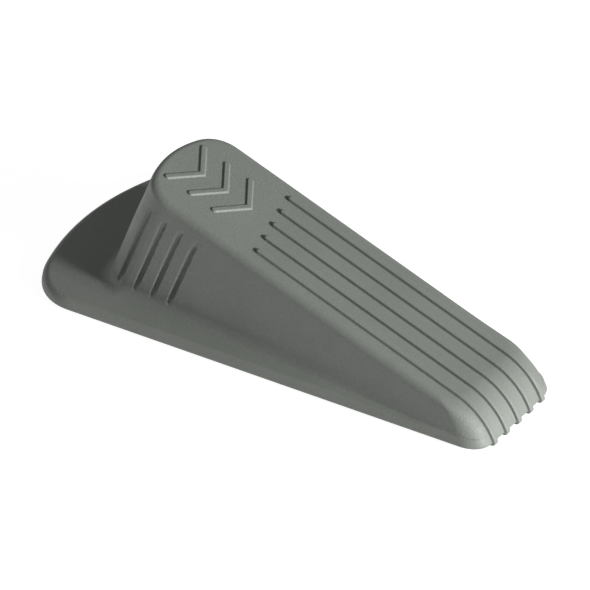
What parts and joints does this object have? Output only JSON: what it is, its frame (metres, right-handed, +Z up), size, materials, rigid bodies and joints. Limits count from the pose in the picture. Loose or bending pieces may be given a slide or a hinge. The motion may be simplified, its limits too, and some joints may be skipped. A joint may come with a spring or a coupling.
{
  "type": "rubber door wedge",
  "caption": "Rubber door stop wedge with a wide base flange, a sloping ribbed ramp, grooved side walls and a ribbed sole.",
  "frame": {"origin": "on the floor, under the middle of the overall length and width", "axes": "+X from the tail behind the heel to the toe that goes under the door, +Y across the wedge, +Z up"},
  "size_m": [0.1206, 0.0572, 0.0313],
  "materials": {
    "grey_rubber": "matt moulded rubber with a fine grain"
  },
  "bodies": {
    "root": {"rubber_wedge": "grey_rubber"}
  },
  "joints": []
}
